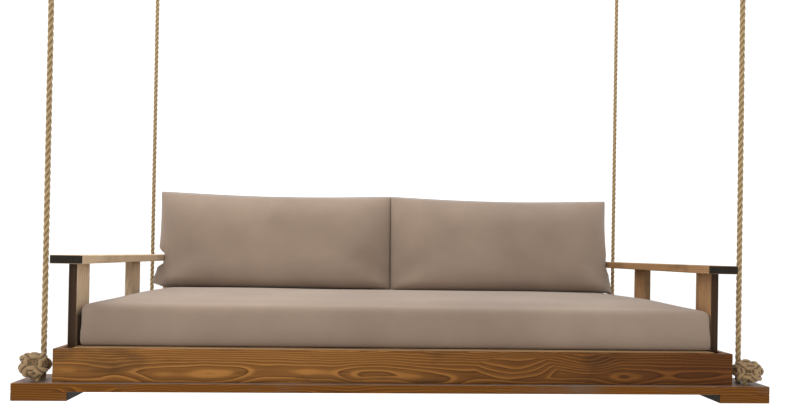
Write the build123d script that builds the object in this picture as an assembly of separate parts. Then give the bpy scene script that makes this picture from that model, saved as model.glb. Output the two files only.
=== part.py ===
from build123d import *
import os

# Porch swing seat: a daybed-size slatted box on two long base rails, with arms and a low back rail,
# loose cushions, and four ropes that run up to hangers in the porch ceiling.
#
# Millimetres. +X runs along the seat, +Y from its front to its back, +Z up. The origin is the centre
# of the four ceiling studs, in the plane of the ceiling. "Left" is -X, as seen from the front.

# ---- driving dimensions --------------------------------------------------------------------------

RAIL_DROP = 1876.0        # ceiling to the top face of the base rails
SEAT_DEPTH = 1118.0       # front edge of the front rail to back edge of the rear rail
RAIL_LENGTH = 2210.0
RAIL_WIDTH = 140.0
RAIL_THICK = 25.0
BLOCK_LENGTH = 155.0      # doubling block under each rail end
BLOCK_THICK = 25.4

BOX_LENGTH = 2000.0       # outside length of the box that the aprons make
BOX_HEIGHT = 95.0
BOX_SETBACK = 18.0        # from the rails' outer edges to the aprons
APRON_THICK = 18.0
JOIST_THICK = 38.0
SLAT_THICK = 19.0
SLAT_WIDTH = 89.0
SLAT_COUNT = 10
SLAT_END_GAP = 2.0        # between a slat's end and the board beside it

POST_THICK = 25.0
POST_WIDTH = 89.0
ARM_TOP = 361.0           # above the rails' top face
ARM_WIDTH = 92.0
ARM_THICK = 25.0
ARM_FRONT_SETBACK = 22.0
FRONT_POST_SETBACK = 113.0  # front edge of the front rail to the middle of the front posts
REAR_POST_INSET = 50.0    # rear end of the arms to the middle of the rear posts
BACK_POST_PITCH = 460.0
BACK_SLAT_GAP = 19.0

CUSHION_LENGTH = 1905.0   # a twin mattress, 75 inches long and nearly 38 deep
CUSHION_DEPTH = 950.0
CUSHION_THICK = 137.0
CUSHION_SETBACK = 67.0
CUSHION_EDGE = 22.0
BACK_CUSHION_WIDTH = 943.0
BACK_CUSHION_GAP = 4.0
BACK_CUSHION_TALL = 396.0
BACK_CUSHION_FOOT = 256.0  # depth where it stands on the seat cushion
BACK_CUSHION_CREST = 165.0  # depth at its top
BACK_CUSHION_LEAN = 0.096  # how far its back face leans, per unit of height

LAG_HEIGHTS = (26.0, 58.0)  # of the lag screws through the end aprons, above the rails
LAG_RAIL_STEP = 12.0      # from the rail's centre line to its lag screws, towards the middle
LAG_END_SHARE = 0.992     # the end joists' lag screws, as a share of those joists' places
BLOCK_SCREWS = (-80.0, 38.0)  # rope block's screws, along the rail from the rope
BLOCK_SCREW_MARGIN = 18.0

EDGE = 2.5                # eased edges of the boards
FIT = 0.5                 # air under a loose piece

ROPE_R = 8.0
ROPE_X = 1048.0           # rope holes, from the seat's centre
ROPE_INSET = 70.0         # rope holes, from the rails' outer edges
TAIL_STEP = 35.0          # second hole of each pair, towards the rail's outer edge
HOLE_R = 8.75
BIGHT_R = 15.0            # bend of the rope under the rail
KNOT_R = 48.0
KNOT_TALL = 80.0
KNOT_FLAT = 2.0           # half the height of the knot's straight side
KNOT_SHIFT = (10.0, 33.0)  # knot's centre from the rope, outwards along X and Y
BEND_LOW = 100.0          # the rope starts to lean here, above the rails' top face
BEND_HIGH = 130.0
JOINT_GAP = 0.4           # air round the ball ends of the bending piece
CUP_DEPTH = 4.0

EAR_THICK = 7.0
EAR_R = 15.0
PIN_R = 6.0
PIN_PLAY = 0.05
SIDE_PLAY = 0.3
STUD_R = 6.35
STUD_TALL = 75.0
STUD_POINT = 1.5          # chamfer at the stud's upper end
FLANGE_R = 32.0
FLANGE_THICK = 6.0
NECK_TALL = 12.0          # between the flange and the hanger's fork
CLEVIS_WEB = (-32.0, -24.0)  # the plate that joins the clevis's tang to its fork, from the swing pin
TANG_TALL = 25.0
CROTCH = 2.0              # room in the hanger's fork above the clevis's tang
FORK_ROOM = 20.0          # half the room cut between the ears, more than an ear's radius
PIN_REACH = 30.0          # half the length of the holes for the pins
SWING_PIN_DROP = 42.0     # ceiling to the pin that the seat swings on
SWAY_PIN_DROP = 116.0     # ceiling to the pin that the rope's thimble turns on
THIMBLE_WIDTH = 24.0
THIMBLE_R = 31.5
EYE_R = 30.0              # centre line of the rope round its thimble

# The rope's eye, as (x, z) from the thimble's centre: up the standing part, over the thimble and
# down the tail. The radii belong to its corners, the first of which is where the eye starts.
EYE_ROUTE = [(0, -88), (-30, -25), (-30, 30), (30, 30), (30, -25), (16.5, -88), (16.5, -160)]
EYE_RADII = [120, 80, 29.9, 29.9, 80, 120]
SEIZING = (-146.0, -118.0)  # binding that holds the tail to the standing part, from the thimble
SEIZING_WALL = 2.25
GROOVE_PLAY = 0.3

# ---- places worked out from them -----------------------------------------------------------------

RAIL_TOP = -RAIL_DROP
HALF_DEPTH = SEAT_DEPTH / 2
ROPE_Y = HALF_DEPTH - ROPE_INSET
BOX_X = BOX_LENGTH / 2
BOX_Y = HALF_DEPTH - BOX_SETBACK
POST_X = BOX_X - APRON_THICK             # outer face of the arm posts
POST_IN = POST_X - POST_THICK
RIM_Y = BOX_Y - APRON_THICK              # back face of the rear rim joist
BACK_POST_Y = RIM_Y - JOIST_THICK        # back face of the back posts
DECK_TOP = RAIL_TOP + BOX_HEIGHT
JOIST_TOP = DECK_TOP - SLAT_THICK
ARM_Z = RAIL_TOP + ARM_TOP
POST_TOP = ARM_Z - ARM_THICK
ARM_X = POST_X - POST_THICK / 2          # arms are centred on their posts
ARM_FRONT = -HALF_DEPTH + ARM_FRONT_SETBACK
BACK_RAIL_Y = BACK_POST_Y - POST_THICK / 2
FRONT_POST_Y = -HALF_DEPTH + FRONT_POST_SETBACK
REAR_POST_Y = BACK_RAIL_Y + ARM_WIDTH / 2 - REAR_POST_INSET
POST_YS = {"front": FRONT_POST_Y, "middle": (FRONT_POST_Y + REAR_POST_Y) / 2, "rear": REAR_POST_Y}
JOIST_XS = [i * (POST_IN - JOIST_THICK / 2) / 2 for i in (-2, -1, 0, 1, 2)]
BACK_POST_XS = [i * BACK_POST_PITCH / 2 for i in (-3, -1, 1, 3)]
SLAT_FRONT = -BOX_Y + APRON_THICK + SLAT_END_GAP
SLAT_BACK = BACK_POST_Y - POST_THICK - SLAT_END_GAP
SLAT_END = POST_IN - SLAT_END_GAP
SLAT_PITCH = (SLAT_BACK - SLAT_FRONT - SLAT_WIDTH) / (SLAT_COUNT - 1)
SLAT_YS = [SLAT_FRONT + SLAT_WIDTH / 2 + i * SLAT_PITCH for i in range(SLAT_COUNT)]
CORNERS = {
    "front_left": (-1, -1),
    "front_right": (1, -1),
    "rear_left": (-1, 1),
    "rear_right": (1, 1),
}


def save(name, *pieces):
    """Writes one sub-part, which is one solid or a group of separate ones."""
    solids = [solid for piece in pieces for solid in piece.solids()]
    shape = solids[0] if len(solids) == 1 else Compound(children=solids)
    shape.label = name
    export_step(shape, f"parts/{name}.step")


def span(x, y, z):
    """A box between the two values of each pair."""
    size = [high - low for low, high in (x, y, z)]
    middle = [(high + low) / 2 for low, high in (x, y, z)]
    return Pos(*middle) * Box(*size)


def board(x, y, z, edge=EDGE):
    """A sawn board with its edges eased."""
    blank = span(x, y, z)
    return fillet(blank.edges(), edge)


def mirrored_span(side, near, far):
    """An interval on one side of the seat's middle."""
    return tuple(sorted((side * near, side * far)))


def rod(start, end, radius):
    """A round bar between two points that differ along one axis."""
    axis = Vector(*end) - Vector(*start)
    return Solid.make_cylinder(radius, axis.length, Plane(origin=start, z_dir=axis))


# ---- timber --------------------------------------------------------------------------------------

def rope_holes(side, end, z):
    """The pair of holes at one rail end: the rope's own, and its tail's."""
    x, y = side * ROPE_X, end * ROPE_Y
    return [rod((x, way, z[0]), (x, way, z[1]), HOLE_R) for way in (y, y + end * TAIL_STEP)]


def base_rail(end):
    y = mirrored_span(end, HALF_DEPTH - RAIL_WIDTH, HALF_DEPTH)
    z = (RAIL_TOP - RAIL_THICK, RAIL_TOP)
    rail = board((-RAIL_LENGTH / 2, RAIL_LENGTH / 2), y, z)
    for side in (-1, 1):
        for hole in rope_holes(side, end, (z[0] - 1, z[1] + 1)):
            rail -= hole
    return rail


def rope_block(side, end):
    """Doubles the rail's end, and has a slot for the rope's bight."""
    top = RAIL_TOP - RAIL_THICK
    x = mirrored_span(side, RAIL_LENGTH / 2 - BLOCK_LENGTH, RAIL_LENGTH / 2)
    y = mirrored_span(end, HALF_DEPTH - RAIL_WIDTH, HALF_DEPTH)
    block = board(x, y, (top - BLOCK_THICK, top))
    slot = SlotCenterToCenter(TAIL_STEP, 2 * HOLE_R, rotation=90)
    place = Pos(side * ROPE_X, end * (ROPE_Y + TAIL_STEP / 2), top - BLOCK_THICK - 1)
    return block - place * extrude(slot, BLOCK_THICK + 2)


def long_apron(end):
    """The front or rear apron, as long as the box."""
    y = mirrored_span(end, BOX_Y - APRON_THICK, BOX_Y)
    return board((-BOX_X, BOX_X), y, (RAIL_TOP, DECK_TOP))


def end_apron(side):
    x = mirrored_span(side, POST_X, BOX_X)
    inside = BOX_Y - APRON_THICK
    return board(x, (-inside, inside), (RAIL_TOP, DECK_TOP))


def joist(x):
    half = JOIST_THICK / 2
    return board((x - half, x + half), (APRON_THICK - BOX_Y, BACK_POST_Y), (RAIL_TOP, JOIST_TOP))


def rim_joist():
    """Runs along the rear apron, behind the joists and the back posts."""
    return board((-POST_IN, POST_IN), (BACK_POST_Y, RIM_Y), (RAIL_TOP, JOIST_TOP))


def deck_slat(y):
    half = SLAT_WIDTH / 2
    return board((-SLAT_END, SLAT_END), (y - half, y + half), (JOIST_TOP, DECK_TOP))


def arm_post(side, y):
    x = mirrored_span(side, POST_IN, POST_X)
    half = POST_WIDTH / 2
    return board(x, (y - half, y + half), (RAIL_TOP, POST_TOP))


def back_post(x):
    half = POST_WIDTH / 2
    return board((x - half, x + half), (BACK_POST_Y - POST_THICK, BACK_POST_Y), (RAIL_TOP, POST_TOP))


def back_slat(index):
    """A board across the back of the back posts, counted down from the back rail."""
    top = POST_TOP - BACK_SLAT_GAP - index * (SLAT_WIDTH + BACK_SLAT_GAP)
    y = (BACK_POST_Y, BACK_POST_Y + SLAT_THICK)
    return board((-SLAT_END, SLAT_END), y, (top - SLAT_WIDTH, top))


def armrest(side):
    x = mirrored_span(side, ARM_X - ARM_WIDTH / 2, ARM_X + ARM_WIDTH / 2)
    return board(x, (ARM_FRONT, BACK_RAIL_Y + ARM_WIDTH / 2), (POST_TOP, ARM_Z))


def back_top_rail():
    end = ARM_X - ARM_WIDTH / 2
    y = (BACK_RAIL_Y - ARM_WIDTH / 2, BACK_RAIL_Y + ARM_WIDTH / 2)
    return board((-end, end), y, (POST_TOP, ARM_Z))


# ---- screws --------------------------------------------------------------------------------------

def wood_screw(point, up):
    """A countersunk screw whose flat head lies at the point; up is the side that its head faces."""
    x, y, z = point
    length, shank, head, sink = 42.0, 2.4, 4.8, 3.0
    shaft = rod((x, y, z - up * sink), (x, y, z - up * length), shank)
    cone = Solid.make_cone(shank, head, sink, Plane(origin=(x, y, z - up * sink), z_dir=(0, 0, up)))
    return shaft + cone


def wood_screws():
    arm_x = [side * ARM_X for side in (-1, 1)]
    steps = (-POST_WIDTH / 4, POST_WIDTH / 4)
    block_x = [ROPE_X + step for step in BLOCK_SCREWS]
    block_y = (HALF_DEPTH - RAIL_WIDTH + BLOCK_SCREW_MARGIN, HALF_DEPTH - BLOCK_SCREW_MARGIN)
    block_z = RAIL_TOP - RAIL_THICK - BLOCK_THICK
    heads = [(x, y + step, ARM_Z, 1) for x in arm_x for y in POST_YS.values() for step in steps]
    heads += [(x + step, BACK_RAIL_Y, ARM_Z, 1) for x in BACK_POST_XS for step in steps]
    heads += [(x, y, DECK_TOP, 1) for x in JOIST_XS for y in SLAT_YS]
    for side, end in CORNERS.values():
        heads += [(side * x, end * y, block_z, -1) for x in block_x for y in block_y]
    return [wood_screw(head[:3], head[3]) for head in heads]


def lag_screw(point, axis):
    """A hexagon-head lag screw with its washer; axis points out of its head."""
    washer_r, washer_thick = 10.0, 1.6
    head_r, head_tall = 7.5, 5.5
    shank_r, shank_length = 4.0, 64.0
    place = Plane(origin=point, z_dir=axis)
    washer = Solid.make_cylinder(washer_r, washer_thick, place)
    head = place * Pos(0, 0, washer_thick) * extrude(RegularPolygon(head_r, 6), head_tall)
    inwards = Plane(origin=point, z_dir=[-v for v in axis])
    return washer + head + Solid.make_cylinder(shank_r, shank_length, inwards)


def lag_screws():
    heights = [RAIL_TOP + height for height in LAG_HEIGHTS]
    rail_xs = [x * LAG_END_SHARE if abs(x) == max(JOIST_XS) else x for x in JOIST_XS]
    rail_y = HALF_DEPTH - RAIL_WIDTH / 2 - LAG_RAIL_STEP
    screws = []
    for side in (-1, 1):
        for y in POST_YS.values():
            screws += [lag_screw((side * BOX_X, y, z), (side, 0, 0)) for z in heights]
    for end in (-1, 1):
        under = RAIL_TOP - RAIL_THICK
        screws += [lag_screw((x, end * rail_y, under), (0, 0, -1)) for x in rail_xs]
    return screws


# ---- cushions ------------------------------------------------------------------------------------

def seat_cushion():
    half = CUSHION_LENGTH / 2
    front = -HALF_DEPTH + CUSHION_SETBACK
    low = DECK_TOP + FIT
    y = (front, front + CUSHION_DEPTH)
    return board((-half, half), y, (low, low + CUSHION_THICK), CUSHION_EDGE)


def back_cushion(side):
    """Stands on the seat cushion, leans on the back rail, and closes round the armrest's edge."""
    foot = DECK_TOP + 2 * FIT + CUSHION_THICK
    back = BACK_RAIL_Y - ARM_WIDTH / 2 - FIT - BACK_CUSHION_LEAN * (ARM_Z - foot)
    crest = back + BACK_CUSHION_LEAN * BACK_CUSHION_TALL
    top = foot + BACK_CUSHION_TALL
    side_view = Polyline(
        (back - BACK_CUSHION_FOOT, foot), (back, foot), (crest, top), (crest - BACK_CUSHION_CREST, top),
        close=True,
    )
    blank = extrude(Plane.YZ * make_face(side_view), BACK_CUSHION_WIDTH)
    middle = BACK_CUSHION_WIDTH / 2
    place = Pos(side * (middle + BACK_CUSHION_GAP / 2) - middle, 0, 0)
    blank = place * fillet(blank.edges(), CUSHION_EDGE)
    arm = mirrored_span(side, ARM_X - ARM_WIDTH / 2 - FIT, BOX_X)
    return blank - span(arm, (-BOX_Y, BOX_Y), (POST_TOP - FIT, ARM_Z + FIT))


# ---- ropes, knots and hangers: each is made at its rope's own place -------------------------------

def rope_path():
    """From the top of the bending piece up to the eye, round the thimble and down the tail."""
    low = RAIL_TOP + BEND_HIGH + CUP_DEPTH
    points = [(0, 0, low)] + [(x, 0, z - SWAY_PIN_DROP) for x, z in EYE_ROUTE]
    return FilletPolyline(*points, radius=EYE_RADII)


def tube(path):
    start = Plane(origin=path @ 0, z_dir=path % 0)
    return sweep(start * Circle(ROPE_R), path=path)


def rope():
    socket = Pos(0, 0, RAIL_TOP + BEND_HIGH) * Sphere(ROPE_R + JOINT_GAP)
    return tube(rope_path()) - socket


def rope_bend():
    """The short stretch over the knot where the rope takes up its lean, with a ball at each end."""
    low, high = RAIL_TOP + BEND_LOW, RAIL_TOP + BEND_HIGH
    middle = rod((0, 0, low), (0, 0, high), ROPE_R)
    return middle + Pos(0, 0, low) * Sphere(ROPE_R) + Pos(0, 0, high) * Sphere(ROPE_R)


def rope_knot(side, end):
    """Down through the rail, round under it, up the second hole and into the knot."""
    bight = RAIL_TOP - RAIL_THICK - BIGHT_R
    tail_y = end * TAIL_STEP
    top = RAIL_TOP + BEND_LOW
    turn = FilletPolyline(
        (0, 0, top - CUP_DEPTH),
        (0, 0, bight),
        (0, tail_y, bight),
        (0, tail_y, RAIL_TOP + KNOT_TALL / 2),
        radius=BIGHT_R,
    )
    drum = Cylinder(KNOT_R, KNOT_TALL)
    ball = fillet(drum.edges().filter_by(GeomType.CIRCLE), KNOT_TALL / 2 - KNOT_FLAT)
    x, y = side * KNOT_SHIFT[0], end * KNOT_SHIFT[1]
    ball = Pos(x, y, RAIL_TOP + FIT + KNOT_TALL / 2) * ball
    return tube(turn) + ball - Pos(0, 0, top) * Sphere(ROPE_R + JOINT_GAP)


def seizing():
    """Tight turns of twine round both parts of the rope under the eye."""
    low, high = SEIZING
    tail = EYE_ROUTE[-1][0]
    band = extrude(SlotCenterToCenter(tail, 2 * (ROPE_R + SEIZING_WALL)), high - low)
    parts = [rod((x, 0, -1), (x, 0, high - low + 1), ROPE_R) for x in (0, tail)]
    sleeve = Pos(tail / 2, 0, 0) * band - parts[0] - parts[1]
    return Pos(0, 0, low - SWAY_PIN_DROP) * sleeve


def thimble():
    """A round grooved thimble that turns on the clevis pin."""
    wheel = Cylinder(THIMBLE_R, THIMBLE_WIDTH) - Torus(EYE_R, ROPE_R + GROOVE_PLAY)
    wheel -= Cylinder(PIN_R + PIN_PLAY, THIMBLE_WIDTH)
    return Pos(0, 0, -SWAY_PIN_DROP) * Rot(90, 0, 0) * wheel


def ear_blank(length, width):
    """A plate in XY with a round lower end at the origin, extruded width along Z about the middle."""
    outline = Circle(EAR_R) + Pos(0, length / 2) * Rectangle(2 * EAR_R, length)
    return Pos(0, 0, -width / 2) * extrude(outline, width)


def hanger():
    """The ceiling fitting: a threaded stud, a flange, and a fork for the swing pin."""
    gap = 2 * (EAR_R - EAR_THICK)
    blank = Cylinder(STUD_R, STUD_TALL)
    tip = blank.edges().filter_by(GeomType.CIRCLE).sort_by(Axis.Z)[-1]
    body = Pos(0, 0, STUD_TALL / 2) * chamfer(tip, STUD_POINT)
    body += Pos(0, 0, -FLANGE_THICK / 2) * Cylinder(FLANGE_R, FLANGE_THICK)
    body += Pos(0, 0, -FLANGE_THICK - NECK_TALL / 2) * Cylinder(EAR_R, NECK_TALL)
    fork_tall = SWING_PIN_DROP - FLANGE_THICK - NECK_TALL
    pin = Pos(0, 0, -SWING_PIN_DROP)
    body += pin * Rot(0, 90, 0) * Rot(0, 0, 90) * ear_blank(fork_tall, 2 * EAR_R)
    body -= pin * span((-gap / 2, gap / 2), (-FORK_ROOM, FORK_ROOM), (-FORK_ROOM, EAR_R + CROTCH))
    return body - pin * rod((-PIN_REACH, 0, 0), (PIN_REACH, 0, 0), PIN_R)


def clevis():
    """A yoke: its tang swings on the hanger's pin, and its fork carries the thimble's pin."""
    tang_thick = 2 * (EAR_R - EAR_THICK - SIDE_PLAY)
    gap = THIMBLE_WIDTH + 2 * SIDE_PLAY
    width = gap + 2 * EAR_THICK
    web = [height - SWING_PIN_DROP for height in CLEVIS_WEB]
    upper, lower = Pos(0, 0, -SWING_PIN_DROP), Pos(0, 0, -SWAY_PIN_DROP)
    body = upper * Rot(180, 0, 0) * Rot(0, 90, 0) * Rot(0, 0, 90) * ear_blank(TANG_TALL, tang_thick)
    body -= upper * rod((-PIN_REACH, 0, 0), (PIN_REACH, 0, 0), PIN_R + PIN_PLAY)
    body += span((-EAR_R, EAR_R), (-width / 2, width / 2), web)
    body += lower * Rot(90, 0, 0) * ear_blank(web[0] + SWAY_PIN_DROP, width)
    fork_room = (-FORK_ROOM - SWAY_PIN_DROP, web[0])
    body -= span((-FORK_ROOM, FORK_ROOM), (-gap / 2, gap / 2), fork_room)
    return body - lower * rod((0, -PIN_REACH, 0), (0, PIN_REACH, 0), PIN_R)


def pin_and_nut(half_width):
    """A headed pin along Z with a hexagon nut, for a fork that is twice half_width wide."""
    head, nut, end = 4.0, 8.0, 10.5
    pin = rod((0, 0, -half_width), (0, 0, half_width + end), PIN_R)
    pin += rod((0, 0, -half_width - head), (0, 0, -half_width), 1.6 * PIN_R)
    hexagon = Pos(0, 0, half_width) * extrude(RegularPolygon(1.7 * PIN_R, 6), nut)
    return [pin, hexagon - rod((0, 0, 0), (0, 0, 2 * half_width + end), PIN_R)]


def swing_pin():
    place = Pos(0, 0, -SWING_PIN_DROP) * Rot(0, 90, 0)
    return [place * piece for piece in pin_and_nut(EAR_R)]


def clevis_pin():
    half_width = THIMBLE_WIDTH / 2 + SIDE_PLAY + EAR_THICK
    place = Pos(0, 0, -SWAY_PIN_DROP) * Rot(-90, 0, 0)
    return [place * piece for piece in pin_and_nut(half_width)]


# ---- the whole seat ------------------------------------------------------------------------------

os.makedirs("parts", exist_ok=True)

save("front_base_rail", base_rail(-1))
save("rear_base_rail", base_rail(1))
save("front_rope_blocks", *[rope_block(side, -1) for side in (-1, 1)])
save("rear_rope_blocks", *[rope_block(side, 1) for side in (-1, 1)])
save("front_apron", long_apron(-1))
save("rear_apron", long_apron(1))
save("deck_joists", *[joist(x) for x in JOIST_XS], rim_joist())
save("deck_slats", *[deck_slat(y) for y in SLAT_YS])
save("back_posts", *[back_post(x) for x in BACK_POST_XS])
save("back_slats", *[back_slat(index) for index in (0, 1)])
save("back_top_rail", back_top_rail())
save("wood_screws", *wood_screws())
save("lag_screws", *lag_screws())
save("seat_cushion", seat_cushion())

for side_name, side in (("left", -1), ("right", 1)):
    save(f"{side_name}_apron", end_apron(side))
    save(f"{side_name}_armrest", armrest(side))
    save(f"back_cushion_{side_name}", back_cushion(side))
    for place_name, y in POST_YS.items():
        save(f"{side_name}_{place_name}_post", arm_post(side, y))

swing_pins = []
for corner, (side, end) in CORNERS.items():
    at = Pos(side * ROPE_X, end * ROPE_Y, 0)
    save(f"hanger_{corner}", at * hanger())
    save(f"clevis_{corner}", at * clevis())
    save(f"clevis_pin_{corner}", *[at * piece for piece in clevis_pin()])
    save(f"thimble_{corner}", at * thimble())
    save(f"rope_{corner}", at * rope())
    save(f"seizing_{corner}", at * seizing())
    save(f"rope_bend_{corner}", at * rope_bend())
    save(f"knot_{corner}", at * rope_knot(side, end))
    swing_pins += [at * piece for piece in swing_pin()]
save("swing_pins", *swing_pins)

path = rope_path()
whole = tube(path).volume
print("rope above the bend", round(path.length), "mm, volume over section times length",
      round(whole / (path.length * Circle(ROPE_R).area), 4), "radii", EYE_RADII)
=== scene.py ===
import math

import bpy
import numpy as np
from mathutils import Matrix, Vector, noise


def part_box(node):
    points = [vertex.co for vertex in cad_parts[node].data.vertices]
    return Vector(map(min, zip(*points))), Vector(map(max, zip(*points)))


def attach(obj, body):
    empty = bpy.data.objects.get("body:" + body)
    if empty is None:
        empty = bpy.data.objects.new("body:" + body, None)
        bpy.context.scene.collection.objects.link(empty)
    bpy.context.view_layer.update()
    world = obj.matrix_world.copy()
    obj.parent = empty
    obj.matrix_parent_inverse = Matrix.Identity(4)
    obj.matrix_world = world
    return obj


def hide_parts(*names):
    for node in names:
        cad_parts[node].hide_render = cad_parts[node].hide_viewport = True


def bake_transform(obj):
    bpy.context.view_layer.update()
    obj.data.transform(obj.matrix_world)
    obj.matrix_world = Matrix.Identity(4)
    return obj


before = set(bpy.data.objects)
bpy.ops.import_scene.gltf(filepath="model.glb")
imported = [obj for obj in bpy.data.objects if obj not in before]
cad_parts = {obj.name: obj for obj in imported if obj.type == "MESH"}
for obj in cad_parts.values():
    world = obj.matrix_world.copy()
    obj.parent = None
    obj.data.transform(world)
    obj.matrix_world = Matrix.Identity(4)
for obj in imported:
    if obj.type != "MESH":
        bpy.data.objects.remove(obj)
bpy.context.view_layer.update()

# Porch swing seat, in metres in the CAD frame: +X along the seat, +Y to its back, +Z up, and z = 0 at
# the ceiling. Left is -X.

# ---- camera --------------------------------------------------------------------------------------

LENS_MM = 29.1
SENSOR_MM = 36.0
SHIFT_Y = 0.0564
CAMERA_AT = (-0.1455, -2.406, -1.4953)
YAW_RIGHT = 0.0599
PITCH_UP = 0.0076
ROLL = 0.0174


def make_camera():
    data = bpy.data.cameras.new("camera")
    data.lens, data.sensor_width, data.shift_y = LENS_MM, SENSOR_MM, SHIFT_Y
    camera = bpy.data.objects.new("camera", data)
    bpy.context.scene.collection.objects.link(camera)
    turn = Matrix.Rotation(-YAW_RIGHT, 4, "Z") @ Matrix.Rotation(math.pi / 2 + PITCH_UP, 4, "X")
    camera.matrix_world = Matrix.Translation(CAMERA_AT) @ turn @ Matrix.Rotation(ROLL, 4, "Z")
    bpy.context.scene.camera = camera


make_camera()

# ---- meshes --------------------------------------------------------------------------------------

ROUTE_STEPS = 24                # points between two of a route's control points


def new_object(name, points, faces, smooth=True, uvs=None):
    """A mesh object. uvs, if given, has one pair for each corner of each face."""
    mesh = bpy.data.meshes.new(name)
    mesh.from_pydata([tuple(p) for p in points], [], faces)
    if uvs is not None:
        layer = mesh.uv_layers.new(name="lay")
        layer.data.foreach_set("uv", np.asarray(uvs, np.float32).ravel())
    mesh.polygons.foreach_set("use_smooth", [smooth] * len(mesh.polygons))
    mesh.update()
    piece = bpy.data.objects.new(name, mesh)
    bpy.context.scene.collection.objects.link(piece)
    return piece


def curve_points(route):
    """The line of a NURBS spline with the route's points as its control points."""
    curve = bpy.data.curves.new("route", "CURVE")
    curve.dimensions = "3D"
    curve.resolution_u = ROUTE_STEPS
    spline = curve.splines.new("NURBS")
    spline.points.add(len(route) - 1)
    for point, place in zip(spline.points, route):
        point.co = (*place, 1)
    spline.order_u = 3
    spline.use_endpoint_u = True
    holder = bpy.data.objects.new("route", curve)
    mesh = bpy.data.meshes.new_from_object(holder)
    line = np.array([v.co for v in mesh.vertices], float)
    bpy.data.meshes.remove(mesh)
    bpy.data.curves.remove(curve)
    return line


def evenly(line, step, closed=False):
    """The line again, with points one step apart."""
    if closed:
        line = np.vstack([line, line[:1]])
    along = np.concatenate([[0], np.cumsum(np.linalg.norm(np.diff(line, axis=0), axis=1))])
    count = max(2, math.ceil(along[-1] / step) + 1)
    at = np.linspace(0, along[-1], count)
    even = np.stack([np.interp(at, along, line[:, k]) for k in range(3)], axis=1)
    return even[:-1] if closed else even


def unit(vectors):
    return vectors / np.linalg.norm(vectors, axis=-1, keepdims=True)


def tangents(line, closed):
    if closed:
        return unit(np.roll(line, -1, axis=0) - np.roll(line, 1, axis=0))
    return unit(np.gradient(line, axis=0))


def frames(line, first, closed=False):
    """Two directions across the line at each point, which turn with it and never about it."""
    along = tangents(line, closed)
    across = np.empty_like(line)
    side = np.array(first, float)
    for i, t in enumerate(along):
        side = side - t * side.dot(t)
        side /= np.linalg.norm(side)
        across[i] = side
    if closed:
        end = across[-1] - along[0] * across[-1].dot(along[0])
        twist = math.atan2(np.cross(across[0], end).dot(along[0]), across[0].dot(end))
        turn = -twist * np.arange(len(line)) / len(line)
        other = np.cross(along, across)
        across = across * np.cos(turn)[:, None] + other * np.sin(turn)[:, None]
    return along, across, np.cross(along, across)


def tube_grid(centres, one, two, radius, sides, closed=False):
    """Rings of points round the centres, with the faces and the UVs of the tube between them.
    The UVs are the distance along the tube in metres, and the share of a turn round it."""
    count = len(centres)
    angle = np.arange(sides) * 2 * math.pi / sides
    ring = np.cos(angle)[None, :, None] * one[:, None] + np.sin(angle)[None, :, None] * two[:, None]
    radius = np.broadcast_to(radius, (count,))
    points = (centres[:, None] + radius[:, None, None] * ring).reshape(-1, 3)
    gaps = np.linalg.norm(np.diff(centres, axis=0, append=centres[:1]), axis=1)
    along = np.concatenate([[0], np.cumsum(gaps)])
    faces, uvs = [], []
    for i in range(count if closed else count - 1):
        a, b = i * sides, (i + 1) % count * sides
        for k in range(sides):
            n = (k + 1) % sides
            faces.append((a + k, a + n, b + n, b + k))
            low, high = k / sides, (k + 1) / sides
            uvs += [(along[i], low), (along[i], high), (along[i + 1], high), (along[i + 1], low)]
    if not closed:
        last = (count - 1) * sides
        faces += [tuple(range(sides - 1, -1, -1)), tuple(range(last, last + sides))]
        uvs += [(along[0], 0.5)] * sides + [(along[count - 1], 0.5)] * sides
    return points, faces, uvs


def joined(grids):
    """Several tubes as one set of points, faces and UVs."""
    points, faces, uvs = [], [], []
    start = 0
    for grid_points, grid_faces, grid_uvs in grids:
        points.append(grid_points)
        faces += [tuple(i + start for i in face) for face in grid_faces]
        uvs += grid_uvs
        start += len(grid_points)
    return np.vstack(points), faces, uvs


# ---- rope ----------------------------------------------------------------------------------------

ROPE_DIAMETER = 0.016
ROPE_LAY = 0.064            # one turn of its strands
STRAND_COUNT = 3
STRAND_R = 0.00405
STRAND_OFFSET = 0.00415     # strand's centre from the rope's
STRAND_SIDES = 14
ROPE_STEP = 0.0025

ROPE_X = 1.048
ROPE_Y = 0.489
RAIL_TOP = -1.876
BEND_HIGH = RAIL_TOP + 0.130
ROPE_FOOT = BEND_HIGH + 0.004
THIMBLE_Z = -0.116
BIGHT_Z = RAIL_TOP - 0.040      # the rope's lowest bend, under the rail
BIGHT_SHOULDER = 0.021
TAIL_STEP = 0.035               # from the rope's first hole to its second
INTO_KNOT = 0.035               # how far it comes up out of the second
CORNERS = {
    "front_left": (-1, -1),
    "front_right": (1, -1),
    "rear_left": (-1, 1),
    "rear_right": (1, 1),
}

# The rope's eye, as (x, z) from the thimble's centre. The first point keeps the standing part straight.
EYE_ROUTE = [
    (0, -0.184), (0, -0.088), (-0.030, -0.025), (-0.030, 0.030), (0.030, 0.030), (0.030, -0.025),
    (0.0165, -0.088), (0.0165, -0.160),
]


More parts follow.
